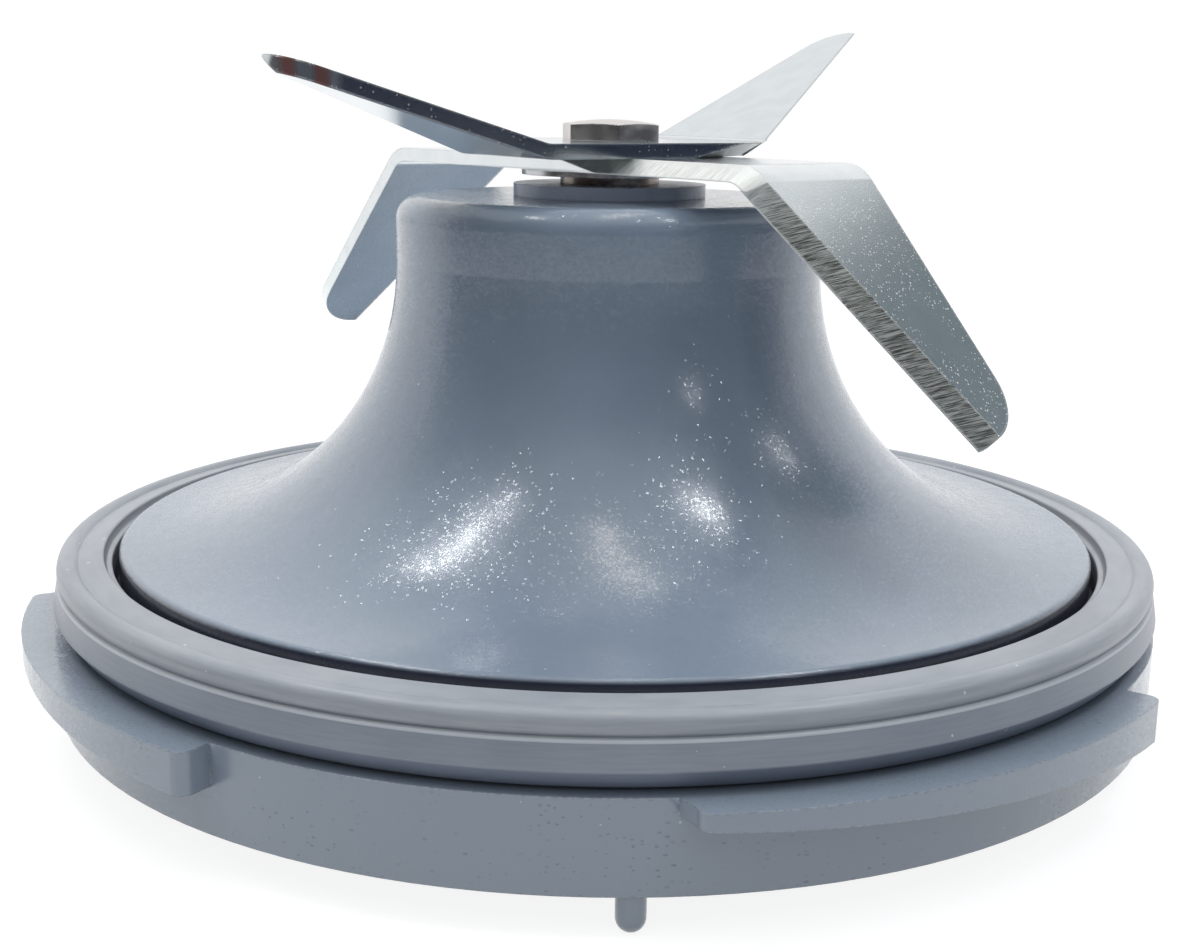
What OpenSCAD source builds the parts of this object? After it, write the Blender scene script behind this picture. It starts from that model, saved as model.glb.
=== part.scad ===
// Knife unit of a food processor or blender jug: a bell-shaped base with bayonet lugs
// and a sealing ring, and a two-blade steel knife on a shaft that turns in two bushes.
// Millimetres, +Z up, origin on the shaft axis at the level of the feet.

/* [Base body] */
// Outer diameter of the skirt at the bottom
skirt_d = 100.6; // [99:0.1:104]
// Height of the skirt's outer wall
skirt_h = 7.2; // [6:0.1:9]
// Diameter of the raised deck inside the sealing ring
deck_d = 89.3; // [86:0.1:90]
// Height of the deck above the skirt's top edge
deck_rise = 6.24; // [5.5:0.02:7.5]
// Diameter of the bell's upper, straight part
bell_d = 38.8; // [34:0.1:44]
// Height of the bell above the deck
bell_h = 30.46; // [28:0.02:36]
// Wall thickness of the moulding
wall_t = 2.5; // [1.8:0.1:3]
// Flat land left between the flare and the deck's edge
flare_land = 0.6; // [0.3:0.1:2]
// Rounding of the deck's edge
deck_round = 0.6; // [0.2:0.1:1]
// Rounding of the bell's top edge
crown_round = 2.1; // [0.5:0.1:3]

/* [Lugs and feet] */
// Number of bayonet lugs round the skirt, with one foot at each
lug_count = 4; // [3:1:5]
// How far a lug stands out from the skirt
lug_reach = 2.8; // [1.5:0.1:4]
// Arc that a lug covers, in degrees
lug_arc = 49; // [30:1:56]
// Angle at which the first lug starts
lug_start = -83; // [-90:0.5:-70]
// Thickness of a lug at its thin, leading end
lug_t_lead = 1.3; // [1:0.1:2]
// Thickness of a lug at its thick, trailing end
lug_t_tail = 3.4; // [2:0.1:4.5]
// Rounding of a lug's outer corners
lug_round = 1.1; // [0.5:0.1:1.4]
// Diameter of a foot peg under the rim
peg_d = 2.2; // [1.6:0.1:2.4]
// How far a foot peg stands below the rim
peg_drop = 3.1; // [2:0.1:5]
// Angle from the start of a lug back to its foot
peg_back = 4.5; // [0:0.5:10]

/* [Stiffening ribs] */
// Number of radial ribs under the bell
rib_count = 8; // [6:1:12]
// Thickness of a rib
rib_t = 1.6; // [1:0.1:2.4]
// Height of a rib's outer end above the rim
rib_outer_z = 6; // [5:0.1:8]

/* [Sealing ring] */
// Diameter over the ring's lip
lip_d = 100; // [98.4:0.1:101]
// Height of the lip above the seat
lip_h = 3.9; // [3:0.1:5]
// Height of the bead above the lip
bead_rise = 1.95; // [1.2:0.05:2.4]
// Radius of the rounded bead
bead_r = 1.0; // [0.6:0.05:1.3]
// Gap between the ring's top and the deck wall
ring_gap = 0.55; // [0.4:0.05:0.8]
// Play between the ring's foot and the deck wall
ring_fit = 0.05; // [0.02:0.01:0.2]

/* [Bearing tower] */
// Outer diameter of the bearing tower
tower_d = 20; // [19:0.5:24]
// Height of the tower's lower end above the feet
tower_bottom = 24; // [23.5:0.1:26]
// Outer diameter of the bushes
bush_d = 12; // [11:0.1:13]
// Length of a bush
bush_l = 8; // [6:0.5:9]
// Outer diameter of the shaft seal
seal_d = 16; // [15:0.1:16.4]
// Depth of the seal's pocket in the bell's top
seal_depth = 5; // [4.6:0.1:6]
// Running clearance of the shaft in a bush, on the radius
run_fit = 0.03; // [0.01:0.01:0.1]

/* [Shaft] */
// Diameter of the shaft's journal
shaft_d = 8; // [7.6:0.1:8.4]
// Diameter of the collar that carries the knives
collar_d = 9; // [8.8:0.1:10]
// Thickness of the collar
collar_h = 0.8; // [0.5:0.1:2]
// Diameter of the neck through the knives
neck_d = 6.6; // [6.2:0.1:7]
// Width across the neck's two flats
neck_flats = 5.6; // [5.4:0.1:5.8]
// Width across the flats at the coupling end
drive_flats = 6.4; // [6.2:0.1:7]
// Depth of a clip groove, on the radius
groove_depth = 1; // [0.6:0.1:1.2]

/* [Washers and clips] */
// Diameter of the plastic thrust washer on the bell
thrust_d = 17.5; // [17:0.1:20]
// Thickness of the plastic thrust washer
thrust_h = 1.15; // [0.8:0.05:2]
// Diameter of the thin steel washer under the knives
backing_d = 16; // [14:0.5:18]
// Thickness of the thin steel washer
backing_h = 0.45; // [0.3:0.05:1]
// Diameter of the washers under the lower bush
lower_washer_d = 14; // [13:0.5:16]
// Thickness of the plastic washer under the lower bush
slip_h = 0.8; // [0.5:0.1:0.9]
// Thickness of the steel washer under the lower bush
shim_h = 0.5; // [0.3:0.1:0.6]
// Diameter of the shaft clips
clip_d = 12.4; // [11:0.1:13]
// Thickness of the shaft clips
clip_h = 0.8; // [0.6:0.1:0.9]
// Axial play of the shaft
end_play = 0.2; // [0.1:0.05:0.25]
// Play of washers on the shaft, on the radius
washer_fit = 0.1; // [0.05:0.05:0.3]

/* [Knives] */
// Thickness of the knife sheet
knife_t = 1.3; // [1:0.05:1.6]
// Radius of the bends, to the middle of the sheet
bend_r = 3.2; // [2:0.1:4]
// Height of the blunt land left at a cutting edge
edge_land = 0.04; // [0.02:0.01:0.1]
// Play between the knives and the neck
knife_fit = 0.05; // [0.03:0.01:0.1]

/* [Lower knife] */
// Direction of the lower knife's first arm
lower_angle = -50; // [-60:0.5:-20]
// Length of an arm along the flat sheet, from the axis
lower_length = 50.6; // [46:0.1:54]
// Half width of the lower knife
lower_half_w = 6.9; // [6:0.1:8]
// Distance of the lower knife's first bend from the axis
lower_first_bend_at = 23.8; // [20:0.1:28]
// Downward bend of its first arm, in degrees
lower_first_bend = 47; // [30:0.1:55]
// Distance of the lower knife's second bend from the axis
lower_second_bend_at = 24.8; // [20:0.1:28]
// Downward bend of its second arm, in degrees
lower_second_bend = 45.8; // [30:0.1:55]
// Inward run of the cutting edge beyond the bend, per unit of length
lower_taper = 0.34; // [0.2:0.01:0.4]
// Radius of a flap's round tip
lower_tip_r = 5.4; // [4:0.1:6]
// Width of the lower knife's ground bevel
lower_bevel_w = 1.7; // [1:0.05:2.2]
// Distance from the axis at which the bevel reaches its full width
lower_bevel_from = 6.2; // [5.5:0.1:9]
// Angle in plan at which the bevel fades out towards the axis
lower_bevel_fade = 16.4; // [14:0.2:30]

/* [Upper knife] */
// Direction of the upper knife's first arm
upper_angle = 34; // [20:0.5:60]
// Length of an arm along the flat sheet, from the axis
upper_length = 36.6; // [32:0.1:44]
// Half width of the upper knife
upper_half_w = 9.75; // [9:0.05:11]
// Distance from the axis at which the cutting edge starts to run in
upper_shoulder = 7.8; // [6:0.1:10]
// Inward run of the cutting edge beyond the shoulder, per unit of length
upper_taper = 0.53; // [0.4:0.01:0.6]
// Length of the curve that closes the back edge at the tip
upper_tip_curve = 3; // [2:0.1:6]
// Width of the upper knife's ground bevel
upper_bevel_w = 2.6; // [1.5:0.1:3]
// Distance of the upper knife's first bend from the axis
upper_first_bend_at = 12; // [9:0.1:14]
// Upward bend of its first arm, in degrees
upper_first_bend = 25.5; // [10:0.1:40]
// Distance of the upper knife's second bend from the axis
upper_second_bend_at = 12.6; // [9:0.1:14]
// Upward bend of its second arm, in degrees
upper_second_bend = 15.9; // [10:0.1:40]

/* [Knife screw] */
// Width across the flats of the screw's head
head_af = 8; // [7:0.1:9]
// Height of the head's sides at the middle of a flat
head_h = 1.5; // [1.2:0.1:4]
// Height of the dome on the head
dome_h = 0.35; // [0.1:0.05:0.6]
// Diameter of the screw's thread
screw_d = 4; // [3.5:0.1:4.4]
// Length of the screw below its head
screw_l = 10; // [7:0.5:14]
// Direction of one corner of the head
head_angle = -80; // [-120:1:-60]

/* [Drive coupling] */
// Outer diameter of the coupling
coupling_d = 30; // [28:0.5:34]
// Height of the coupling's lower end above the feet
coupling_bottom = 8; // [7.9:0.1:9]
// Depth of the drive socket
socket_depth = 8; // [7:0.1:8.2]
// Diameter of the round middle of the socket
socket_d = 18; // [17:0.5:19]
// Number of lobes round the socket
lobe_count = 6; // [4:1:8]
// Width of a lobe
lobe_w = 4.6; // [4:0.1:5]
// How far a lobe reaches beyond the round middle
lobe_reach = 3.2; // [2.6:0.1:3.6]
// Diameter of the coupling's hub
hub_d = 15; // [14:0.5:18]

/* [Hidden] */
$fn = 96;
EPS = 0.01;
// Small overlap that joins two stretches of one sheet, and the step that it leaves
SEAM = 0.05;
STEP = 0.005;
FAR = 80;

// Radii
skirt_r = skirt_d / 2;
deck_r = deck_d / 2;
bell_r = bell_d / 2;
shaft_r = shaft_d / 2;
flare_r = deck_r - flare_land - bell_r;
lug_r = skirt_r + lug_reach;

// Levels, from the feet up
rim_z = peg_drop;
seat_z = rim_z + skirt_h;
deck_z = seat_z + deck_rise;
crown_z = deck_z + bell_h;
pocket_z = crown_z - seal_depth;
collar_z = crown_z + thrust_h;
backing_z = collar_z + collar_h;
lower_knife_z = backing_z + backing_h;
upper_knife_z = lower_knife_z + knife_t;
head_z = upper_knife_z + knife_t;
lip_z = seat_z + lip_h;

// Levels under the lower bush, from the bush down
slip_z = tower_bottom - end_play - slip_h;
shim_z = slip_z - shim_h;
bearing_clip_z = shim_z - clip_h;
coupling_gap = 0.6;
flats_top = bearing_clip_z - coupling_gap;
socket_top = coupling_bottom + socket_depth;
web_t = 3;
web_top = socket_top + web_t;
coupling_clip_z = socket_top - clip_h;
shaft_bottom = coupling_clip_z - 1.2;

// The shaft's bores are drilled a little deeper than the screw
tap_extra = 1.2;
neck_short = 0.3;

// Base body

// Outline of the moulding's outer skin, on the right of the axis
module skin_section() {
    difference() {
        union() {
            translate([0, rim_z]) square([skirt_r, skirt_h]);
            translate([0, rim_z]) square([deck_r, deck_z - rim_z]);
            translate([0, rim_z]) square([bell_r, crown_z - rim_z]);
            translate([0, deck_z - EPS]) square([bell_r + flare_r, flare_r + EPS]);
        }
        translate([bell_r + flare_r, deck_z + flare_r]) circle(r = flare_r);
        corner_cut(deck_r, deck_z, deck_round);
        corner_cut(bell_r, crown_z, crown_round);
    }
}

// What a rounded corner takes away from a square one
module corner_cut(x, y, r) {
    difference() {
        translate([x - r, y - r]) square(r + 1);
        translate([x - r, y - r]) circle(r = r);
    }
}

// Outline of the hollow under the skin, for a wall of thickness w
module hollow_section(w) {
    difference() {
        union() {
            translate([0, rim_z - 1]) square([skirt_r - w, skirt_h - w + 1]);
            translate([0, rim_z - 1]) square([deck_r - w, deck_z - w - rim_z + 1]);
            translate([0, rim_z]) square([bell_r - w, crown_z - w - rim_z]);
            translate([0, deck_z - w - EPS]) square([bell_r + flare_r, flare_r]);
        }
        translate([bell_r + flare_r, deck_z + flare_r]) circle(r = flare_r + w);
    }
}

// Radial stiffening rib from the tower out to the skirt
module rib() {
    tower_r = tower_d / 2;
    rotate([90, 0, 0])
        translate([0, 0, -rib_t / 2])
            linear_extrude(rib_t)
                intersection() {
                    hollow_section(wall_t / 2);
                    polygon([
                        [tower_r - 1, tower_bottom + 1.5],
                        [skirt_r, rim_z + rib_outer_z],
                        [skirt_r, crown_z],
                        [tower_r - 1, crown_z]
                    ]);
                }
}

// Plan of a lug: a curved bar with a slanting leading end and rounded corners
module lug_plan() {
    root_r = skirt_r - wall_t / 2;
    round_r = lug_r - lug_round;
    turn = asin(lug_round / round_r);
    slant = 1.8;
    intersection() {
        difference() {
            circle(r = lug_r);
            circle(r = root_r);
        }
        polygon([[0, 0], FAR * [cos(turn), sin(turn)], FAR * [1, tan(lug_arc / 2)],
                 FAR * [cos(lug_arc - turn), sin(lug_arc - turn)]]);
    }
    intersection() {
        difference() {
            circle(r = round_r);
            circle(r = root_r);
        }
        polygon([[0, 0], FAR * [1, 0], FAR * [1, tan(lug_arc / 2)], FAR * [cos(lug_arc), sin(lug_arc)]]);
    }
    for (a = [turn, lug_arc - turn])
        rotate(a) translate([round_r, 0]) circle(r = lug_round);
    polygon([
        root_r * [cos(-slant), sin(-slant)],
        round_r * [cos(0), sin(0)],
        round_r * [cos(turn), sin(turn)],
        root_r * [cos(turn), sin(turn)]
    ]);
}

// Bayonet lug whose underside ramps down towards its trailing end
module lug() {
    half_run = lug_r * sin(lug_arc / 2);
    ramp = atan((lug_t_tail - lug_t_lead) / (2 * half_run));
    mid_t = (lug_t_lead + lug_t_tail) / 2;
    difference() {
        translate([0, 0, seat_z - lug_t_tail - 1]) linear_extrude(lug_t_tail + 1) lug_plan();
        rotate([0, 0, lug_arc / 2])
            translate([0, 0, seat_z - mid_t])
                rotate([-ramp, 0, 0])
                    translate([0, -FAR, -FAR]) cube([FAR, 2 * FAR, FAR]);
    }
}

// Round-ended peg under the rim, on which the unit stands
module peg() {
    peg_r = peg_d / 2;
    translate([skirt_r - wall_t / 2, 0, 0]) {
        translate([0, 0, peg_r]) cylinder(r = peg_r, h = rim_z - peg_r + 1);
        translate([0, 0, peg_r]) sphere(r = peg_r);
    }
}

// Bores through the tower: pocket for the seal, seats for both bushes and a relief between them
module tower_bores() {
    relief_r = shaft_r + 0.9;
    translate([0, 0, pocket_z]) cylinder(d = seal_d, h = seal_depth + 1);
    translate([0, 0, pocket_z - bush_l]) cylinder(d = bush_d, h = bush_l + 1);
    translate([0, 0, tower_bottom - 1]) cylinder(d = bush_d, h = bush_l + 1);
    translate([0, 0, tower_bottom]) cylinder(r = relief_r, h = crown_z - tower_bottom);
}

module base_body() {
    color([0.50, 0.55, 0.61])
        difference() {
            union() {
                rotate_extrude() difference() {
                    skin_section();
                    hollow_section(wall_t);
                }
                translate([0, 0, tower_bottom])
                    cylinder(d = tower_d, h = crown_z - wall_t / 2 - tower_bottom);
                for (i = [0 : rib_count - 1]) rotate([0, 0, (i + 0.5) * 360 / rib_count]) rib();
                for (i = [0 : lug_count - 1]) rotate([0, 0, lug_start + i * 360 / lug_count]) {
                    lug();
                    rotate([0, 0, -peg_back]) peg();
                }
            }
            tower_bores();
        }
}

// Sealing ring

// Elastic ring that lies on the seat round the deck wall and seals with its outer lip
module sealing_ring() {
    inner_r = deck_r + ring_fit;
    lip_r = lip_d / 2;
    foot_r = lip_r - 1.8;
    foot_h = 0.3;
    band_h = 1.8;
    bead_x = lip_r - bead_r - 0.05;
    bead_top = lip_z + bead_rise;
    valley_r = bead_x - 0.8;
    valley_z = bead_top - 0.36;
    top_r = deck_r + ring_gap;
    color([0.52, 0.56, 0.60])
        rotate_extrude() {
            polygon([
                [inner_r, seat_z],
                [foot_r, seat_z],
                [foot_r, seat_z + foot_h],
                [lip_r - 0.84, seat_z + foot_h],
                [lip_r + 0.34, seat_z + band_h],
                [lip_r, lip_z],
                [bead_x + bead_r, bead_top - bead_r],
                [bead_x, bead_top - bead_r],
                [valley_r, valley_z],
                [top_r, valley_z + 0.19],
                [top_r, seat_z + 2.2],
                [inner_r, seat_z + 1.7]
            ]);
            translate([bead_x, bead_top - bead_r]) circle(r = bead_r);
        }
}

// Bearings and shaft seal

// Rubber seal with one inner lip against the shaft
module shaft_seal() {
    seal_r = seal_d / 2;
    lip_r = shaft_r + 0.02;
    floor_h = 1.4;
    top_h = seal_depth - 0.2;
    color([0.10, 0.10, 0.11])
        translate([0, 0, pocket_z])
            rotate_extrude()
                polygon([
                    [seal_r, 0],
                    [seal_r, top_h],
                    [seal_r - 1, top_h],
                    [seal_r - 1, floor_h],
                    [shaft_r + 1.3, floor_h],
                    [shaft_r + 0.7, top_h - 0.5],
                    [lip_r, top_h - 0.8],
                    [lip_r, top_h - 1.2],
                    [shaft_r + 0.5, floor_h - 0.4],
                    [shaft_r + 0.5, 0]
                ]);
}

// Sintered bush with a chamfered bore
module bush(z) {
    bore_r = shaft_r + run_fit;
    chamfer = 0.4;
    color([0.62, 0.48, 0.30])
        translate([0, 0, z])
            difference() {
                cylinder(d = bush_d, h = bush_l);
                translate([0, 0, -1]) cylinder(r = bore_r, h = bush_l + 2);
                translate([0, 0, -EPS]) cylinder(r1 = bore_r + chamfer, r2 = bore_r, h = chamfer);
                translate([0, 0, bush_l - chamfer + EPS])
                    cylinder(r1 = bore_r, r2 = bore_r + chamfer, h = chamfer);
            }
}

module upper_bush() {
    bush(pocket_z - bush_l);
}

module lower_bush() {
    bush(tower_bottom);
}

// Washers and clips

module washer(d, bore_r, h, z) {
    translate([0, 0, z])
        difference() {
            cylinder(d = d, h = h);
            translate([0, 0, -1]) cylinder(r = bore_r, h = h + 2);
        }
}

module thrust_washer() {
    color([0.47, 0.52, 0.58]) washer(thrust_d, shaft_r + washer_fit, thrust_h, crown_z);
}

module backing_washer() {
    color([0.78, 0.79, 0.80]) washer(backing_d, neck_d / 2 + washer_fit, backing_h, backing_z);
}

module slip_washer() {
    color([0.88, 0.88, 0.85]) washer(lower_washer_d, shaft_r + washer_fit, slip_h, slip_z);
}

module shim_washer() {
    color([0.75, 0.76, 0.78]) washer(lower_washer_d, shaft_r + washer_fit, shim_h, shim_z);
}

// Snap-on shaft clip with three inner lands and an open side
module clip(z) {
    groove_r = shaft_r - groove_depth;
    clip_r = clip_d / 2;
    mouth = 2 * groove_r - 0.6;
    relief = 1.2;
    color([0.30, 0.30, 0.32])
        translate([0, 0, z])
            difference() {
                cylinder(r = clip_r, h = clip_h);
                translate([0, 0, -1]) cylinder(r = groove_r, h = clip_h + 2);
                translate([0, -mouth / 2, -1]) cube([clip_r + 1, mouth, clip_h + 2]);
                for (a = [120, 240])
                    rotate([0, 0, a]) translate([groove_r + 0.5, 0, -1]) cylinder(r = relief, h = clip_h + 2);
            }
}

module bearing_clip() {
    clip(bearing_clip_z);
}

module coupling_clip() {
    rotate([0, 0, 90]) clip(coupling_clip_z);
}

// Drive shaft

// Round bar with two opposite flats
module flatted_bar(d, flats, h) {
    intersection() {
        cylinder(d = d, h = h);
        translate([-d, -flats / 2, -1]) cube([2 * d, flats, h + 2]);
    }
}

module clip_groove(z) {
    translate([0, 0, z])
        difference() {
            cylinder(r = shaft_r + 1, h = clip_h);
            translate([0, 0, -1]) cylinder(r = shaft_r - groove_depth, h = clip_h + 2);
        }
}

module drive_shaft() {
    neck_top = head_z - neck_short;
    tap_l = screw_l - neck_short + tap_extra;
    chamfer = 0.5;
    color([0.74, 0.75, 0.77])
        difference() {
            union() {
                translate([0, 0, shaft_bottom])
                    flatted_bar(shaft_d, drive_flats, flats_top - shaft_bottom + EPS);
                translate([0, 0, flats_top]) cylinder(r = shaft_r, h = collar_z - flats_top + EPS);
                translate([0, 0, collar_z]) cylinder(d = collar_d, h = collar_h);
                rotate([0, 0, lower_angle])
                    translate([0, 0, backing_z]) flatted_bar(neck_d, neck_flats, neck_top - backing_z);
            }
            translate([0, 0, neck_top - tap_l]) cylinder(d = screw_d, h = tap_l + 1);
            clip_groove(bearing_clip_z);
            clip_groove(coupling_clip_z);
            translate([0, 0, shaft_bottom - EPS])
                difference() {
                    cylinder(r = shaft_r + 1, h = chamfer);
                    cylinder(r1 = shaft_r - chamfer, r2 = shaft_r, h = chamfer);
                }
        }
}

// Knives

// How far a bend of angle a starts before the fold line
function setback(a) = bend_r * tan(a / 2);

// All that a bevel of width w takes away: the cutting edge runs along the X axis, on the
// sheet's lower face when it is ground from the top, and on its upper face otherwise
module bevel_cut(w, from_top) {
    slope = w / (knife_t - edge_land);
    reach = w + slope;
    drop = (FAR + w) / slope;
    translate([-FAR, 0, 0])
        rotate([90, 0, 90])
            linear_extrude(2 * FAR)
                polygon(from_top
                    ? [[-FAR, knife_t + 1], [reach, knife_t + 1], [-FAR, knife_t - drop]]
                    : [[-FAR, -1], [reach, -1], [-FAR, drop]]);
}

// Hole that fits over the neck's flats
module neck_hole() {
    rotate([0, 0, lower_angle])
        translate([0, 0, -1])
            flatted_bar(neck_d + 2 * knife_fit, neck_flats + 2 * knife_fit, knife_t + 2);
}

// Bevel on the flat middle's edge, fading out in a slanting plane near the axis
module lower_hub_bevel() {
    intersection() {
        translate([0, -lower_half_w, 0]) bevel_cut(lower_bevel_w, true);
        translate([lower_bevel_from, -lower_half_w, 0])
            rotate([0, 0, lower_bevel_fade]) bevel_cut(lower_bevel_w, true);
    }
}

// Flat middle of the lower knife, up to both bends
module lower_hub() {
    first_run = lower_first_bend_at - setback(lower_first_bend) + SEAM;
    second_run = lower_second_bend_at - setback(lower_second_bend) + SEAM;
    difference() {
        translate([-second_run, -lower_half_w, 0]) cube([first_run + second_run, 2 * lower_half_w, knife_t]);
        for (a = [0, 180]) rotate([0, 0, a]) lower_hub_bevel();
    }
}

// Plan of a flap beyond the bend, from the fold line out to its blunt, rounded tip
module lower_flap_plan(bend_at, bend) {
    start = setback(bend);
    turn = atan(lower_taper);
    along = [cos(turn), sin(turn)];
    inward = [-sin(turn), cos(turn)];
    tip_c = [lower_length - bend_at - lower_tip_r, lower_half_w - lower_tip_r];
    // The cutting edge ends where it meets the round tip
    root = [start, -lower_half_w];
    off = (tip_c - root) * inward;
    edge_end = tip_c + sqrt(lower_tip_r * lower_tip_r - off * off) * along - off * inward;
    polygon([
        [start - SEAM, -lower_half_w], root, edge_end,
        tip_c, tip_c + [0, lower_tip_r], [start - SEAM, lower_half_w]
    ]);
    intersection() {
        translate(tip_c) circle(r = lower_tip_r);
        polygon([tip_c, tip_c + FAR * [0, 1], tip_c + FAR * [1, 1], tip_c + FAR * (edge_end - tip_c)]);
    }
}

// Ground flap of the lower knife, hanging from the bend
module lower_flap(bend_at, bend) {
    turn = atan(lower_taper);
    translate([bend_at, 0, knife_t / 2])
        rotate([0, bend, 0])
            translate([0, 0, -knife_t / 2])
                difference() {
                    linear_extrude(knife_t) lower_flap_plan(bend_at, bend);
                    translate([setback(bend), -lower_half_w, 0])
                        rotate([0, 0, turn]) bevel_cut(lower_bevel_w * cos(turn), true);
                }
}

// Curved stretch between the hub and a flap, with the bevel carried round it
module lower_curve(bend_at, bend) {
    inner = bend_r - knife_t / 2 + STEP;
    outer = bend_r + knife_t / 2 - STEP;
    half_w = lower_half_w - STEP;
    translate([bend_at - setback(bend), 0, knife_t / 2 - bend_r])
        rotate([90, 0, 0])
            rotate([0, 0, 90 - bend])
                rotate_extrude(angle = bend)
                    polygon([
                        [inner, half_w], [inner + edge_land, half_w],
                        [outer, half_w - lower_bevel_w], [outer, -half_w], [inner, -half_w]
                    ]);
}

// One bent arm of the lower knife, beyond its own fold line
module lower_arm(bend_at, bend) {
    lower_curve(bend_at, bend);
    lower_flap(bend_at, bend);
}

module lower_knife() {
    color([0.80, 0.82, 0.84])
        translate([0, 0, lower_knife_z])
            difference() {
                rotate([0, 0, lower_angle]) {
                    lower_hub();
                    lower_arm(lower_first_bend_at, lower_first_bend);
                    rotate([0, 0, 180]) lower_arm(lower_second_bend_at, lower_second_bend);
                }
                neck_hole();
            }
}

// Plan of one arm of the upper knife: straight cutting edge, back edge curved in at the tip
module upper_arm_plan() {
    run = upper_length - upper_shoulder;
    tip = [upper_length, -upper_half_w + upper_taper * run];
    touch = [upper_length - upper_tip_curve, upper_half_w];
    chord = tip - touch;
    // Radius of the arc that leaves the back edge smoothly and ends at the tip
    curve_r = (chord * chord) / (-2 * chord.y);
    polygon([
        [-upper_shoulder, -upper_half_w], [upper_shoulder, -upper_half_w],
        tip, touch, [-upper_shoulder, upper_half_w]
    ]);
    intersection() {
        translate([touch.x, touch.y - curve_r]) circle(r = curve_r);
        polygon([touch, tip, tip + [1, 0.2], [tip.x + 1, touch.y + 1], [touch.x, touch.y + 1]]);
    }
}

// What the upper knife's bevel takes away along one tapered cutting edge
module upper_bevel() {
    translate([upper_shoulder, -upper_half_w, 0])
        rotate([0, 0, atan(upper_taper)]) bevel_cut(upper_bevel_w, false);
}

// One flat arm of the upper knife, ground from below, thicker by extra on both faces
module upper_blank(extra) {
    difference() {
        translate([0, 0, -extra]) linear_extrude(knife_t + 2 * extra) upper_arm_plan();
        upper_bevel();
    }
}

// One bent arm of the upper knife, beyond its own fold line
module upper_arm(bend_at, bend) {
    start = setback(bend);
    inner = bend_r - knife_t / 2;
    centre_z = knife_t / 2 + bend_r;
    translate([bend_at, 0, knife_t / 2])
        rotate([0, -bend, 0])
            intersection() {
                translate([-bend_at, 0, -knife_t / 2]) upper_blank(0);
                translate([start - SEAM, -FAR, -FAR]) cube([FAR, 2 * FAR, 2 * FAR]);
            }
    // The curved stretch is cut from a blank that leans by half the bend
    translate([bend_at - start, 0, centre_z])
        intersection() {
            rotate([0, -bend / 2, 0]) translate([-bend_at, -STEP, -centre_z]) upper_blank(knife_t / 2);
            rotate([90, 0, 0])
                rotate([0, 0, -90])
                    rotate_extrude(angle = bend)
                        translate([inner + STEP, -FAR]) square([knife_t - 2 * STEP, 2 * FAR]);
        }
}

// Half space that keeps what lies before an arm's bend
module before_bend(bend_at, bend) {
    translate([bend_at - setback(bend) + SEAM - FAR, -FAR, -FAR]) cube([FAR, 2 * FAR, 2 * FAR]);
}

// Flat middle of the upper knife, between both bends
module upper_hub() {
    difference() {
        intersection() {
            linear_extrude(knife_t)
                for (a = [0, 180]) rotate(a) upper_arm_plan();
            before_bend(upper_first_bend_at, upper_first_bend);
            rotate([0, 0, 180]) before_bend(upper_second_bend_at, upper_second_bend);
        }
        for (a = [0, 180]) rotate([0, 0, a]) upper_bevel();
    }
}

module upper_knife() {
    color([0.82, 0.84, 0.86])
        translate([0, 0, upper_knife_z])
            difference() {
                rotate([0, 0, upper_angle]) {
                    upper_hub();
                    upper_arm(upper_first_bend_at, upper_first_bend);
                    rotate([0, 0, 180]) upper_arm(upper_second_bend_at, upper_second_bend);
                }
                neck_hole();
            }
}

// Knife screw

// Hexagon screw with a low domed head
module knife_screw() {
    head_r = head_af / 2 / cos(30);
    dome_r = ((head_af / 2) * (head_af / 2) + dome_h * dome_h) / (2 * dome_h);
    color([0.66, 0.66, 0.65]) {
        intersection() {
            translate([0, 0, head_z])
                rotate([0, 0, head_angle]) cylinder(r = head_r, h = head_h + dome_h + 1, $fn = 6);
            translate([0, 0, head_z + head_h + dome_h - dome_r]) sphere(r = dome_r, $fn = 180);
            translate([-head_af, -head_af, head_z]) cube([2 * head_af, 2 * head_af, head_h + dome_h]);
        }
        translate([0, 0, head_z - screw_l]) cylinder(d = screw_d, h = screw_l + EPS);
    }
}

// Drive coupling

// Six-lobed socket that the motor's driver enters from below
module socket_plan() {
    circle(d = socket_d);
    for (i = [0 : lobe_count - 1])
        rotate(i * 360 / lobe_count) {
            lobe_end = socket_d / 2 + lobe_reach - lobe_w / 2;
            translate([0, -lobe_w / 2]) square([lobe_end, lobe_w]);
            translate([lobe_end, 0]) circle(d = lobe_w);
        }
}

module drive_coupling() {
    lead_in = 1;
    color([0.13, 0.13, 0.14])
        difference() {
            union() {
                translate([0, 0, coupling_bottom]) cylinder(d = coupling_d, h = web_top - coupling_bottom);
                translate([0, 0, web_top - EPS]) cylinder(d = hub_d, h = flats_top - web_top + EPS);
            }
            translate([0, 0, coupling_bottom - 1]) linear_extrude(socket_depth + 1) socket_plan();
            translate([0, 0, coupling_bottom - EPS])
                cylinder(d1 = socket_d + 2 * lead_in, d2 = socket_d, h = lead_in);
            translate([0, 0, socket_top - 1]) flatted_bar(shaft_d, drive_flats, flats_top - socket_top + 2);
        }
}

base_body();
sealing_ring();
shaft_seal();
upper_bush();
lower_bush();
thrust_washer();
drive_shaft();
backing_washer();
lower_knife();
upper_knife();
knife_screw();
slip_washer();
shim_washer();
bearing_clip();
drive_coupling();
coupling_clip();
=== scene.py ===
"""Looks of the knife unit: materials for every solid, a pale studio and the camera."""

import math

import bmesh
import bpy
from mathutils import Matrix, Vector


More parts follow.
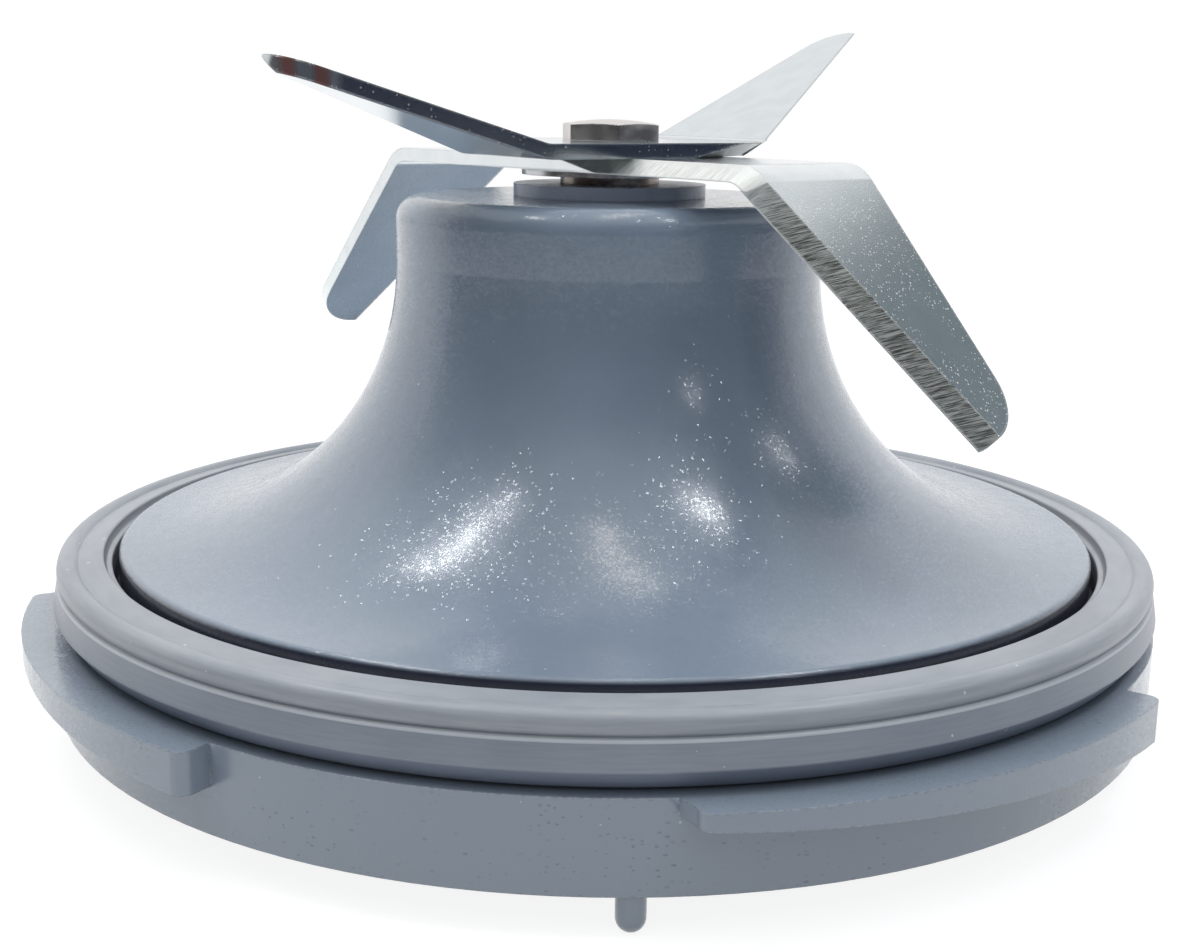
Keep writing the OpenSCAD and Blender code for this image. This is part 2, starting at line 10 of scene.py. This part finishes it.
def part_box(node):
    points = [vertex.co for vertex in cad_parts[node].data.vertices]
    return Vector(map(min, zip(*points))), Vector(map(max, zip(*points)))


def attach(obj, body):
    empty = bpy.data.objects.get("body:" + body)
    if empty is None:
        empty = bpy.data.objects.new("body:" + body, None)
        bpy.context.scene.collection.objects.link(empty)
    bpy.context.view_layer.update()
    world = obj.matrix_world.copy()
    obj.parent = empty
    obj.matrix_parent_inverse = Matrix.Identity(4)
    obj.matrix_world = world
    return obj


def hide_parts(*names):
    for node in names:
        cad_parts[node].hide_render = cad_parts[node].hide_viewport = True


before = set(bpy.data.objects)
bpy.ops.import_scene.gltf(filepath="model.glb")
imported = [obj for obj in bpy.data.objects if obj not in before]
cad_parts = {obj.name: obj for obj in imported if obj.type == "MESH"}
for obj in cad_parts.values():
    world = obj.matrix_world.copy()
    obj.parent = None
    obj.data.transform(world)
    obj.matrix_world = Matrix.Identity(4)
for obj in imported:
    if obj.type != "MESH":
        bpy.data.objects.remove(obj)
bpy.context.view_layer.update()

MM = 0.001

# Photograph's frame and the camera that fits it
IMAGE_W = 1195
SENSOR_W = 36.0
FOCAL_PX = 1638.2
CAMERA_DISTANCE = 151.62 * MM
CAMERA_HEIGHT = 55.56 * MM
CAMERA_PITCH = 0.2258
CAMERA_YAW = 0.005
CAMERA_ROLL = 0.0128

# Shape of the lower knife, for the grinding marks on its bevel
LOWER_ANGLE = math.radians(-50)
LOWER_BEND = math.radians(46.4)
LOWER_BEND_AT = 23.8 * MM

# Shape of the upper knife, for the strokes on its faces
UPPER_ANGLE = math.radians(34)


class Tree:
    """Short way to build a node tree."""

    def __init__(self, owner):
        owner.use_nodes = True
        self.tree = owner.node_tree
        self.tree.nodes.clear()

    def add(self, kind, settings=None, **inputs):
        node = self.tree.nodes.new(kind)
        for name, value in (settings or {}).items():
            setattr(node, name, value)
        for name, value in inputs.items():
            self.feed(node, name.replace("_", " "), value)
        return node

    def feed(self, node, name, value):
        socket = node.inputs[int(name)] if name.isdigit() else node.inputs[name]
        if isinstance(value, bpy.types.NodeSocket):
            self.tree.links.new(value, socket)
        elif isinstance(value, bpy.types.Node):
            self.tree.links.new(value.outputs[0], socket)
        else:
            socket.default_value = value

    def math(self, operation, a, b=0.0, c=0.0, clamp=False):
        node = self.add("ShaderNodeMath", {"operation": operation, "use_clamp": clamp})
        for i, value in enumerate((a, b, c)):
            self.feed(node, str(i), value)
        return node.outputs[0]

    def ramp(self, value, low, high, to_low=0.0, to_high=1.0):
        node = self.add("ShaderNodeMapRange", {"interpolation_type": "SMOOTHSTEP"})
        for i, v in enumerate((value, low, high, to_low, to_high)):
            self.feed(node, str(i), v)
        return node.outputs[0]

    def noise(self, vector, scale, detail=2.0, roughness=0.5):
        node = self.add("ShaderNodeTexNoise", Vector=vector, Scale=scale, Detail=detail, Roughness=roughness)
        return node.outputs["Fac"]

    def mix(self, factor, a, b):
        node = self.add("ShaderNodeMix", {"data_type": "RGBA"})
        self.feed(node, "0", factor)
        self.feed(node, "6", a)
        self.feed(node, "7", b)
        return node.outputs[2]

    def bump(self, height, strength, distance, normal=None):
        node = self.add("ShaderNodeBump", Height=height, Strength=strength, Distance=distance)
        if normal is not None:
            self.feed(node, "Normal", normal)
        return node.outputs[0]


def srgb(r, g, b):
    """Colour as seen on screen, from 0 to 255, turned into the linear values that shaders take."""
    def linear(c):
        c = c / 255
        return c / 12.92 if c <= 0.04045 else ((c + 0.055) / 1.055) ** 2.4
    return (linear(r), linear(g), linear(b), 1.0)


def material(name):
    made = bpy.data.materials.new(name)
    tree = Tree(made)
    shader = tree.add("ShaderNodeBsdfPrincipled")
    out = tree.add("ShaderNodeOutputMaterial")
    tree.tree.links.new(shader.outputs[0], out.inputs[0])
    coord = tree.add("ShaderNodeTexCoord")
    return made, tree, shader, coord


def edge_mask(tree, radius, low=0.03, high=0.2):
    """Smooth normal over the edges, and a mask that is 1 along them."""
    soft = tree.add("ShaderNodeBevel", {"samples": 2}, Radius=radius)
    plain = tree.add("ShaderNodeNewGeometry")
    match = tree.add("ShaderNodeVectorMath", {"operation": "DOT_PRODUCT"})
    tree.feed(match, "0", soft.outputs[0])
    tree.feed(match, "1", plain.outputs["Normal"])
    away = tree.math("SUBTRACT", 1.0, match.outputs["Value"])
    return soft.outputs[0], tree.ramp(away, low, high)


def band(tree, value, start, end, soft):
    """1 between two values, 0 outside."""
    return tree.math("MULTIPLY", tree.ramp(value, start - soft, start + soft), tree.ramp(value, end + soft, end - soft))


def specks(tree, where, scale, size, density, seed=0.0):
    """Sparse round specks, 1 inside a speck."""
    moved = tree.add("ShaderNodeVectorMath", {"operation": "ADD"})
    tree.feed(moved, "0", where)
    tree.feed(moved, "1", (seed, seed * 0.7, -seed))
    cells = tree.add("ShaderNodeTexVoronoi", Vector=moved.outputs[0], Scale=scale)
    split = tree.add("ShaderNodeSeparateColor", Color=cells.outputs["Color"])
    chosen = tree.ramp(split.outputs[0], 1.0 - density, 1.0 - density * 0.8)
    own_size = tree.math("MULTIPLY", split.outputs[1], size)
    spot = tree.math("LESS_THAN", cells.outputs["Distance"], own_size)
    return tree.math("MULTIPLY", spot, chosen)


def shade(colour, factor):
    return tuple(min(1.0, c * factor) for c in colour[:3]) + (1.0,)


def glints(tree, where, normal, scale, lean):
    """Normal that leans by chance from grain to grain, mostly very little, so that a lamp flashes in single grains."""
    def vector(operation, a, b=(0.0, 0.0, 0.0)):
        node = tree.add("ShaderNodeVectorMath", {"operation": operation})
        tree.feed(node, "0", a)
        tree.feed(node, "1", b)
        return node.outputs["Vector"]
    grains = tree.add("ShaderNodeTexVoronoi", Vector=where, Scale=scale)
    offset = vector("SUBTRACT", grains.outputs["Color"], (0.5, 0.5, 0.5))
    cubed = vector("MULTIPLY", vector("MULTIPLY", offset, offset), offset)
    return vector("NORMALIZE", vector("ADD", normal, vector("MULTIPLY", cubed, (lean, lean, lean))))


def moulded_plastic(name, colour, roughness, mottle=0.05, coat=0.0):
    """Semi-gloss moulded plastic with an orange-peel grain."""
    made, tree, shader, coord = material(name)
    where = coord.outputs["Object"]
    soft, edge = edge_mask(tree, 0.00022)
    cloud = tree.noise(where, 70, 3)
    tint = tree.mix(tree.ramp(cloud, 0.35, 0.65), shade(colour, 1 - mottle), shade(colour, 1 + mottle))
    coarse = tree.noise(where, 700, 2)
    normal = tree.bump(coarse, 0.16, 0.00004, soft)
    normal = tree.bump(tree.noise(where, 2300, 2), 0.1, 0.00004, normal)
    shader.inputs["IOR"].default_value = 1.6
    shader.inputs["Coat Weight"].default_value = coat
    shader.inputs["Coat Roughness"].default_value = 0.07
    tree.feed(shader, "Roughness", tree.ramp(coarse, 0.3, 0.7, roughness - 0.04, roughness + 0.05))
    tree.feed(shader, "Base Color", tint)
    tree.feed(shader, "Normal", normal)
    tree.feed(shader, "Coat Normal", glints(tree, where, normal, 6500, 1.6))
    return made, tree, shader, where, tint, normal, edge


def base_plastic():
    """The base's plastic: pale edges, part wear and part painted highlight, dust, small pits in the skirt with painted
    shade in them, and a painted shade in the slot round the deck.
    """
    colour = srgb(126, 139, 155)
    made, tree, shader, where, tint, normal, edge = moulded_plastic("grey_plastic", colour, 0.22, coat=0.55)
    split = tree.add("ShaderNodeSeparateXYZ", Vector=where)
    x, y, z = split.outputs
    radius = tree.math("SQRT", tree.math("ADD", tree.math("MULTIPLY", x, x), tree.math("MULTIPLY", y, y)))
    tint = tree.mix(tree.ramp(z, 0.0108, 0.0102), tint, srgb(136, 147, 160))
    # Small pits, longer than high, with painted shade in them
    flat = tree.add("ShaderNodeCombineXYZ", X=tree.math("MULTIPLY", x, 0.55), Y=tree.math("MULTIPLY", y, 0.55), Z=z)
    patch = tree.math("MULTIPLY", tree.ramp(tree.noise(where, 130, 3), 0.44, 0.6), tree.ramp(z, 0.0104, 0.0102))
    hole = tree.math("MULTIPLY", specks(tree, flat, 3200, 0.36, 0.5), patch)
    tint = tree.mix(tree.math("MULTIPLY", hole, 0.5), tint, shade(colour, 0.5))
    normal = tree.bump(tree.math("SUBTRACT", 1.0, hole), 0.5, 0.00005, normal)
    # Dust, and pale edges that are part wear and part painted highlight
    dust = specks(tree, where, 1500, 0.16, 0.08, 3.1)
    tint = tree.mix(tree.math("MULTIPLY", dust, 0.5), tint, srgb(214, 220, 224))
    worn_and_highlit_edges = tree.math("MULTIPLY", edge, tree.ramp(tree.noise(where, 2600, 2, 0.7), 0.4, 0.56))
    tint = tree.mix(tree.math("MULTIPLY", worn_and_highlit_edges, 0.75), tint, srgb(206, 212, 215))
    # Painted shade in the slot between the deck's wall and the ring
    slot_painted_shade = tree.math("MULTIPLY", tree.ramp(radius, 0.0440, 0.0444), tree.ramp(radius, 0.0452, 0.0448))
    slot_painted_shade = tree.math("MULTIPLY", slot_painted_shade, tree.math("MULTIPLY", tree.ramp(z, 0.0165, 0.0161), tree.ramp(z, 0.0105, 0.0115)))
    tint = tree.mix(slot_painted_shade, tint, srgb(40, 44, 60))
    tree.feed(shader, "Base Color", tint)
    tree.feed(shader, "Normal", normal)
    return made


def soft_ring(name):
    """Satin elastomer of the sealing ring, warmer and lighter on the bead, part its own tone and part painted light
    from above, with a painted shade low on the lip, painted highlights on the ledge and edges, and dust on it.
    """
    made, tree, shader, coord = material(name)
    where = coord.outputs["Object"]
    split = tree.add("ShaderNodeSeparateXYZ", Vector=where)
    soft, edge = edge_mask(tree, 0.00018)
    cloud = tree.noise(where, 60, 3)
    tint = tree.mix(tree.ramp(cloud, 0.3, 0.7), srgb(132, 139, 150), srgb(144, 151, 161))
    # Bead lighter and warmer: part its own warm tone, part painted light falling from above
    warm_tone_and_painted_top_light = tree.math("MULTIPLY", tree.ramp(split.outputs[2], 0.0142, 0.0146), tree.ramp(cloud, 0.2, 0.6, 0.5, 1.0))
    tint = tree.mix(tree.math("MULTIPLY", warm_tone_and_painted_top_light, 0.8), tint, srgb(168, 171, 176))
    streak = tree.add("ShaderNodeCombineXYZ", X=tree.math("MULTIPLY", split.outputs[0], 0.05),
                      Y=tree.math("MULTIPLY", split.outputs[1], 0.05), Z=split.outputs[2])
    tint = tree.mix(tree.ramp(tree.noise(streak, 5200, 2), 0.3, 0.8, 0.0, 0.25), tint, srgb(110, 116, 128))
    # Painted shade: the lower band under the lip is darker and bluer
    low = tree.math("MULTIPLY", tree.ramp(split.outputs[2], 0.01215, 0.0119), 0.5)
    tint = tree.mix(low, tint, srgb(104, 114, 134))
    # Painted highlight: a pale line on the ledge under the bead
    painted_ledge_highlight = tree.math("MULTIPLY", band(tree, split.outputs[2], 0.01404, 0.01432, 0.00004), 0.7)
    tint = tree.mix(painted_ledge_highlight, tint, srgb(208, 211, 215))
    dust = specks(tree, where, 1100, 0.2, 0.12, 1.3)
    tint = tree.mix(tree.math("MULTIPLY", dust, 0.6), tint, srgb(220, 224, 226))
    # Painted highlight: pale along the edges
    tint = tree.mix(tree.math("MULTIPLY", edge, 0.35), tint, srgb(196, 200, 206))
    grain = tree.noise(where, 4200, 2)
    tree.feed(shader, "Base Color", tint)
    shader.inputs["Roughness"].default_value = 0.42
    shader.inputs["Coat Weight"].default_value = 0.4
    shader.inputs["Coat Roughness"].default_value = 0.3
    tree.feed(shader, "Normal", tree.bump(grain, 0.3, 0.00002, soft))
    return made


def steel(name, colour, roughness, scratches=0.5):
    """Rolled or turned steel with fine scratches and sparkle."""
    made, tree, shader, coord = material(name)
    where = coord.outputs["Object"]
    soft, edge = edge_mask(tree, 0.00012)
    rub = tree.noise(where, 500, 3)
    spark = tree.noise(where, 7000, 1)
    shader.inputs["Metallic"].default_value = 1.0
    tint = tree.mix(tree.ramp(rub, 0.3, 0.7), shade(colour, 0.9), colour)
    # Painted highlight: pale along the edges
    tree.feed(shader, "Base Color", tree.mix(tree.math("MULTIPLY", edge, 0.5), tint, srgb(226, 226, 222)))
    tree.feed(shader, "Roughness", tree.ramp(rub, 0.3, 0.7, roughness * 0.75, roughness * 1.3))
    tree.feed(shader, "Normal", tree.bump(spark, scratches, 0.000004, soft))
    return made


def arm_frame(tree, coord, angle):
    """Distance along an arm of a knife, how far a face turns to its cutting edge, and the raw parts."""
    place = tree.add("ShaderNodeSeparateXYZ", Vector=coord.outputs["Object"])
    normal = tree.add("ShaderNodeSeparateXYZ", Vector=coord.outputs["Normal"])
    x, y, z = place.outputs
    nx, ny, nz = normal.outputs
    ca, sa = math.cos(angle), math.sin(angle)
    along = tree.math("ADD", tree.math("MULTIPLY", x, ca), tree.math("MULTIPLY", y, sa))
    side = tree.math("SIGN", along)
    across = tree.math("ADD", tree.math("MULTIPLY", nx, -sa), tree.math("MULTIPLY", ny, ca))
    facing = tree.math("MULTIPLY", tree.math("MULTIPLY", across, side), -1.0)
    width = tree.math("MULTIPLY", side, tree.math("ADD", tree.math("MULTIPLY", x, -sa), tree.math("MULTIPLY", y, ca)))
    return tree.math("ABSOLUTE", along), width, z, facing, nz


def knife_steel(name, angle, lower):
    """Polished sheet whose ground bevel carries grinding marks across the edge."""
    made, tree, shader, coord = material(name)
    where = coord.outputs["Object"]
    along, width, z, facing, nz = arm_frame(tree, coord, angle)
    soft, edge = edge_mask(tree, 0.00026, 0.006, 0.026)
    ground = tree.math("MULTIPLY", tree.ramp(facing, 0.3, 0.42), tree.ramp(facing, 0.95, 0.85))
    wall = tree.math("LESS_THAN", tree.math("ABSOLUTE", nz), 0.3)
    rub = tree.noise(where, 420, 3)
    # Edge line with noise: part burr, part painted edge highlight on the lower knife and painted edge shade on the
    # upper knife
    burr_painted_edge_highlight_and_shade = tree.math("MULTIPLY", edge, tree.ramp(tree.noise(where, 1800, 2), 0.3, 0.44))
    if lower:
        plain = tree.mix(tree.ramp(rub, 0.3, 0.7), srgb(226, 231, 233), srgb(232, 236, 238))
        # Strokes run square to the edge on the flap, and aslant on the hub
        reach = tree.math("SUBTRACT", tree.math("MULTIPLY", along, math.cos(LOWER_BEND)),
                          tree.math("MULTIPLY", z, math.sin(LOWER_BEND)))
        past = tree.ramp(along, LOWER_BEND_AT - 0.0015, LOWER_BEND_AT + 0.0015)
        step = tree.math("ADD", tree.math("MULTIPLY", past, -0.7), 0.45)
        place = tree.math("ADD", reach, tree.math("MULTIPLY", width, step))
        line = tree.add("ShaderNodeCombineXYZ", X=place, Y=tree.math("MULTIPLY", width, 0.05))
        marks = tree.noise(line, 11000, 3, 0.7)
        deep = tree.ramp(tree.noise(line, 6000, 2, 0.6), 0.5, 0.6)
        on_flap = tree.ramp(along, LOWER_BEND_AT + 0.0012, LOWER_BEND_AT + 0.003)
        pale = tree.mix(tree.ramp(marks, 0.3, 0.7), srgb(186, 188, 184), srgb(232, 234, 231))
        # The ground bevel on the flap is painted darker and olive: grinding marks with painted shade, while the hub's
        # bevel stays pale
        flap_bevel_marks_painted_shade = tree.mix(tree.ramp(marks, 0.38, 0.62), srgb(104, 108, 100), srgb(214, 217, 208))
        flap_bevel_marks_painted_shade = tree.mix(tree.math("MULTIPLY", deep, 0.5), flap_bevel_marks_painted_shade, srgb(80, 82, 74))
        ground_tint = tree.mix(on_flap, pale, flap_bevel_marks_painted_shade)
        # White dull specks on the flap: painted glints
        spots = tree.math("MULTIPLY", specks(tree, where, 5200, 0.42, 0.45, 0.7), tree.ramp(along, 0.024, 0.027))
        spots = tree.math("MULTIPLY", spots, tree.ramp(tree.noise(where, 260, 2), 0.3, 0.5))
        spots = tree.math("MULTIPLY", spots, tree.math("SUBTRACT", 1.0, ground))
        # White line along the bevel's upper edge: part burr, part painted highlight
        burr_painted_edge_highlight_and_shade = tree.math("MULTIPLY", burr_painted_edge_highlight_and_shade, tree.ramp(facing, -0.2, 0.1))
        dull = tree.math("MAXIMUM", tree.math("MULTIPLY", spots, 0.8), tree.math("MULTIPLY", burr_painted_edge_highlight_and_shade, 0.95))
        frosted = tree.math("MULTIPLY", ground, tree.ramp(marks, 0.36, 0.64, 0.03, 0.38))
        dull = tree.math("MAXIMUM", dull, frosted)
        dull_tint = tree.mix(frosted, srgb(246, 247, 247), srgb(214, 218, 208))
    else:
        plain = tree.mix(tree.ramp(rub, 0.3, 0.7), srgb(207, 214, 217), srgb(214, 220, 223))
        place = tree.math("ADD", along, tree.math("MULTIPLY", width, 0.5))
        line = tree.add("ShaderNodeCombineXYZ", X=place, Y=tree.math("MULTIPLY", width, 0.08))
        marks = tree.noise(line, 3800, 3, 0.7)
        ground_tint = tree.mix(tree.ramp(marks, 0.3, 0.7), srgb(170, 173, 170), srgb(230, 232, 230))
        stain = tree.math("MAXIMUM", band(tree, along, 0.0319, 0.0332, 0.0003), band(tree, along, 0.0344, 0.0353, 0.0003))
        stain = tree.math("MULTIPLY", stain, wall)
        plain = tree.mix(tree.math("MULTIPLY", stain, 0.8), plain, srgb(150, 92, 84))
        tip = tree.math("MULTIPLY", tree.math("MULTIPLY", tree.ramp(along, 0.0306, 0.0316), wall), 0.18)
        spots = tree.math("MULTIPLY", specks(tree, where, 3600, 0.34, 0.3, 0.4), wall)
        dull = tree.math("MAXIMUM", tree.math("MULTIPLY", stain, 0.4), tip)
        dull = tree.math("MAXIMUM", dull, tree.math("MULTIPLY", spots, 0.35))
        dull_tint = tree.mix(spots, srgb(96, 98, 92), srgb(240, 241, 241))
        dull_tint = tree.mix(stain, dull_tint, srgb(134, 74, 62))
        # Painted shade: a dark line along the downward-facing edges of the walls
        painted_lower_edge_shade = tree.math("MULTIPLY", burr_painted_edge_highlight_and_shade, tree.ramp(nz, -0.05, -0.3))
        dull = tree.math("MAXIMUM", dull, tree.math("MULTIPLY", painted_lower_edge_shade, 0.8))
        dull_tint = tree.mix(painted_lower_edge_shade, dull_tint, srgb(58, 60, 62))
    tint = tree.mix(ground, plain, ground_tint)
    tree.feed(shader, "Base Color", tree.mix(dull, tint, dull_tint))
    tree.feed(shader, "Metallic", tree.math("SUBTRACT", 1.0, dull))
    tree.feed(shader, "Roughness", tree.ramp(ground, 0, 1, 0.16, 0.34))
    bumped = tree.bump(tree.noise(where, 7000, 1), 0.5, 0.000004, soft)
    bumped = tree.bump(tree.math("MULTIPLY", marks, ground), 0.5, 0.00003, bumped)
    tree.feed(shader, "Normal", bumped)
    return made


def dress(names, made):
    for name in names:
        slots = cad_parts[name].data.materials
        slots.clear()
        slots.append(made)


def dress_everything():
    dress(["base_body"], base_plastic())
    # Washer colour lighter than its grey-blue: painted light, making up for the light it lacks under the knives
    dress(["thrust_washer"], moulded_plastic("washer_plastic", srgb(200, 208, 226), 0.28)[0])
    dress(["sealing_ring"], soft_ring("ring_under"))
    dress(["shaft_seal"], moulded_plastic("seal_rubber", srgb(32, 32, 34), 0.55)[0])
    dress(["upper_bush", "lower_bush"], steel("bronze", srgb(176, 142, 92), 0.42))
    dress(["drive_shaft"], steel("shaft_steel", srgb(150, 142, 136), 0.25))
    dress(["backing_washer", "shim_washer"], steel("washer_steel", srgb(200, 202, 204), 0.2))
    dress(["knife_screw"], steel("screw_steel", srgb(220, 215, 212), 0.36))
    dress(["bearing_clip", "coupling_clip"], steel("clip_steel", srgb(84, 84, 88), 0.35))
    dress(["slip_washer"], moulded_plastic("white_plastic", srgb(226, 226, 222), 0.4)[0])
    dress(["drive_coupling"], moulded_plastic("black_plastic", srgb(34, 34, 36), 0.45)[0])
    dress(["lower_knife"], knife_steel("lower_knife_steel", LOWER_ANGLE, True))
    dress(["upper_knife"], knife_steel("upper_knife_steel", UPPER_ANGLE, False))


def arc(x, z, radius, start, end, steps):
    """Points of an arc in the ring's section, angles in degrees from the outward direction."""
    points = []
    for i in range(steps + 1):
        a = math.radians(start + (end - start) * i / steps)
        points.append((x + radius * math.cos(a), z + radius * math.sin(a)))
    return points


def ring_section():
    """Section of the sealing ring: foot, inner step, bead, and the lip that stands out below the bead."""
    low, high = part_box("sealing_ring")
    base = low[2] / MM
    outer = high[0] / MM
    lip = outer - 0.34
    bead_x = lip - 1.05
    bead_z = base + 4.85
    inner = lip - 5.3
    points = [(inner, base + 0.02), (inner, base + 1.65)]
    points += [(inner + 0.48, base + 2.15), (inner + 0.5, base + 4.75)]
    points += arc(inner + 0.68, base + 4.9, 0.15, 180, 90, 4)
    points += [(inner + 1.02, base + 5.07), (inner + 1.12, base + 5.2)]
    points += arc(inner + 1.42, base + 5.62, 0.22, 170, 84, 5)
    points += [(bead_x - 1.2, base + 5.58), (bead_x - 0.86, base + 5.5)]
    points += arc(bead_x, bead_z, 1.0, 142, -48, 22)
    points += [(bead_x + 0.74, base + 4.0)]
    points += arc(lip - 0.16, base + 3.8, 0.16, 92, 4, 6)
    points += arc(outer - 0.16, base + 1.86, 0.16, 10, -44, 5)
    points += [(lip - 0.72, base + 0.42), (lip - 0.84, base + 0.3), (lip - 1.75, base + 0.3), (lip - 1.8, base + 0.02)]
    return points


def sealing_ring():
    """Revolves the ring's section into one closed mesh."""
    turns = 320
    section = ring_section()
    count = len(section)
    mesh = bpy.data.meshes.new("seal_ring_soft")
    built = bmesh.new()
    rows = []
    for i in range(turns):
        a = 2 * math.pi * i / turns
        rows.append([built.verts.new((r * MM * math.cos(a), r * MM * math.sin(a), z * MM)) for r, z in section])
    for i in range(turns):
        here, after = rows[i], rows[(i + 1) % turns]
        for k in range(count):
            m = (k + 1) % count
            built.faces.new((here[k], after[k], after[m], here[m]))
    bmesh.ops.recalc_face_normals(built, faces=built.faces)
    built.to_mesh(mesh)
    built.free()
    for face in mesh.polygons:
        face.use_smooth = True
    mesh.set_sharp_from_angle(angle=math.radians(38))
    piece = bpy.data.objects.new("seal_ring_soft", mesh)
    bpy.context.scene.collection.objects.link(piece)
    mesh.materials.append(soft_ring("ring_rubber"))
    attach(piece, "base")
    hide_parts("sealing_ring")


def floor():
    bpy.ops.mesh.primitive_circle_add(vertices=96, radius=0.45, fill_type="NGON", location=(0, 0, 0))
    plane = bpy.context.object
    plane.name = "floor"
    made = bpy.data.materials.new("floor_white")
    tree = Tree(made)
    lit = tree.add("ShaderNodeBsdfDiffuse", Color=(0.62, 0.63, 0.65, 1))
    faint = tree.add("ShaderNodeBsdfDiffuse", Color=(0.22, 0.22, 0.22, 1))
    glow = tree.add("ShaderNodeEmission", Color=(1, 1, 1, 1), Strength=0.88)
    shown = tree.add("ShaderNodeAddShader")
    tree.tree.links.new(faint.outputs[0], shown.inputs[0])
    tree.tree.links.new(glow.outputs[0], shown.inputs[1])
    path = tree.add("ShaderNodeLightPath")
    seen = tree.math("ADD", tree.math("ADD", path.outputs["Is Camera Ray"], path.outputs["Is Glossy Ray"]),
                     path.outputs["Is Transmission Ray"], clamp=True)
    mixer = tree.add("ShaderNodeMixShader", Fac=seen)
    tree.tree.links.new(lit.outputs[0], mixer.inputs[1])
    tree.tree.links.new(shown.outputs[0], mixer.inputs[2])
    out = tree.add("ShaderNodeOutputMaterial")
    tree.tree.links.new(mixer.outputs[0], out.inputs[0])
    plane.data.materials.append(made)


def surroundings():
    """White room behind, above and at the left of the object, dark room in front of it and at its right."""
    world = bpy.data.worlds.new("studio")
    bpy.context.scene.world = world
    tree = Tree(world)
    coord = tree.add("ShaderNodeTexCoord")
    split = tree.add("ShaderNodeSeparateXYZ", Vector=coord.outputs["Generated"])
    x, y, z = split.outputs
    path = tree.add("ShaderNodeLightPath")
    # What shiny faces reflect
    front = tree.mix(tree.ramp(x, -0.6, 0.2), srgb(58, 52, 54), srgb(34, 40, 58))
    shown = tree.mix(tree.ramp(y, -0.12, 0.42), front, (1, 1, 1, 1))
    left = tree.math("MULTIPLY", tree.ramp(x, -0.75, -0.95), tree.ramp(y, -0.05, 0.25))
    shown = tree.mix(left, shown, (1, 1, 1, 1))
    shown = tree.mix(tree.ramp(z, 0.62, 0.86), shown, srgb(206, 212, 216))
    dim = tree.math("MULTIPLY", tree.ramp(x, 0.618, 0.655), tree.ramp(y, -0.6, -0.3))
    dim = tree.math("MULTIPLY", dim, tree.math("MULTIPLY", tree.ramp(z, 0.35, 0.5), tree.ramp(z, 0.85, 0.75)))
    shown = tree.mix(dim, shown, srgb(114, 125, 130))
    # Soft light
    level = tree.ramp(y, -0.6, 0.6, 0.36, 1.05)
    level = tree.math("MULTIPLY", level, tree.ramp(x, -0.2, 0.6, 1.0, 0.15))
    level = tree.math("MULTIPLY", level, tree.ramp(x, -0.9, -0.2, 0.6, 1.0))
    level = tree.math("MAXIMUM", level, tree.ramp(z, 0.4, 0.92, 0.12, 1.26))
    cool = tree.mix(tree.ramp(x, -0.1, 0.7), (0.95, 0.98, 1.0, 1), (0.86, 0.95, 1.06, 1))
    soft = tree.add("ShaderNodeBackground", Color=cool, Strength=level)
    gloss = tree.add("ShaderNodeBackground", Color=shown, Strength=1.0)
    plain = tree.add("ShaderNodeBackground", Color=(1, 1, 1, 1), Strength=1.0)
    seen = tree.math("ADD", path.outputs["Is Camera Ray"], path.outputs["Is Transmission Ray"], clamp=True)
    first = tree.add("ShaderNodeMixShader", Fac=path.outputs["Is Glossy Ray"])
    tree.tree.links.new(soft.outputs[0], first.inputs[1])
    tree.tree.links.new(gloss.outputs[0], first.inputs[2])
    second = tree.add("ShaderNodeMixShader", Fac=seen)
    tree.tree.links.new(first.outputs[0], second.inputs[1])
    tree.tree.links.new(plain.outputs[0], second.inputs[2])
    out = tree.add("ShaderNodeOutputWorld")
    tree.tree.links.new(second.outputs[0], out.inputs[0])


def lamp(name, place, along, size, power, colour=(1, 1, 1)):
    """Lamp strip that faces the unit, its long side laid along a direction."""
    data = bpy.data.lights.new(name, "AREA")
    data.shape = "RECTANGLE"
    data.size, data.size_y = size
    data.energy = power
    data.color = colour
    made = bpy.data.objects.new(name, data)
    bpy.context.scene.collection.objects.link(made)
    back = (Vector(place) - Vector((0, -0.02, 0.02))).normalized()
    high = Vector(along)
    high = (high - back * high.dot(back)).normalized()
    made.matrix_world = Matrix.Translation(place) @ Matrix((high.cross(back), high, back)).transposed().to_4x4()
    return made


def lamps():
    """Three lamp strips overhead, whose reflections lie on the flare, and two small ones at the right."""
    lamp("left_strip", (-0.28, 0.045, 0.60), (0, 1, 0), (0.036, 0.43), 0.85)
    lamp("middle_strip", (0.02, 0.01, 0.60), (0.23, 0.97, 0), (0.042, 0.32), 0.22, (1.0, 0.94, 0.82))
    lamp("right_strip", (0.281, -0.10, 0.60), (0.27, 0.96, 0), (0.034, 0.22), 0.55)
    lamp("high_spark", (0.375, -0.394, 0.323), (0.3, 0.8, 0.5), (0.012, 0.07), 0.07)
    lamp("low_spark", (0.50, 0.02, 0.375), (0, 1, 0.3), (0.012, 0.10), 0.1)


def camera():
    data = bpy.data.cameras.new("photo_camera")
    data.sensor_width = SENSOR_W
    data.lens = FOCAL_PX / IMAGE_W * SENSOR_W
    data.clip_start = 0.01
    made = bpy.data.objects.new("photo_camera", data)
    bpy.context.scene.collection.objects.link(made)
    turn = Matrix.Rotation(CAMERA_YAW, 3, "Z")
    ahead = turn @ Vector((0, math.cos(CAMERA_PITCH), -math.sin(CAMERA_PITCH)))
    level = turn @ Vector((1, 0, 0))
    upright = level.cross(ahead)
    right = math.cos(CAMERA_ROLL) * level + math.sin(CAMERA_ROLL) * upright
    up = -math.sin(CAMERA_ROLL) * level + math.cos(CAMERA_ROLL) * upright
    axes = Matrix((right, up, -ahead)).transposed()
    made.matrix_world = Matrix.Translation((0, -CAMERA_DISTANCE, CAMERA_HEIGHT)) @ axes.to_4x4()
    bpy.context.scene.camera = made


bpy.context.scene.view_settings.view_transform = "Standard"
dress_everything()
sealing_ring()
floor()
surroundings()
lamps()
camera()
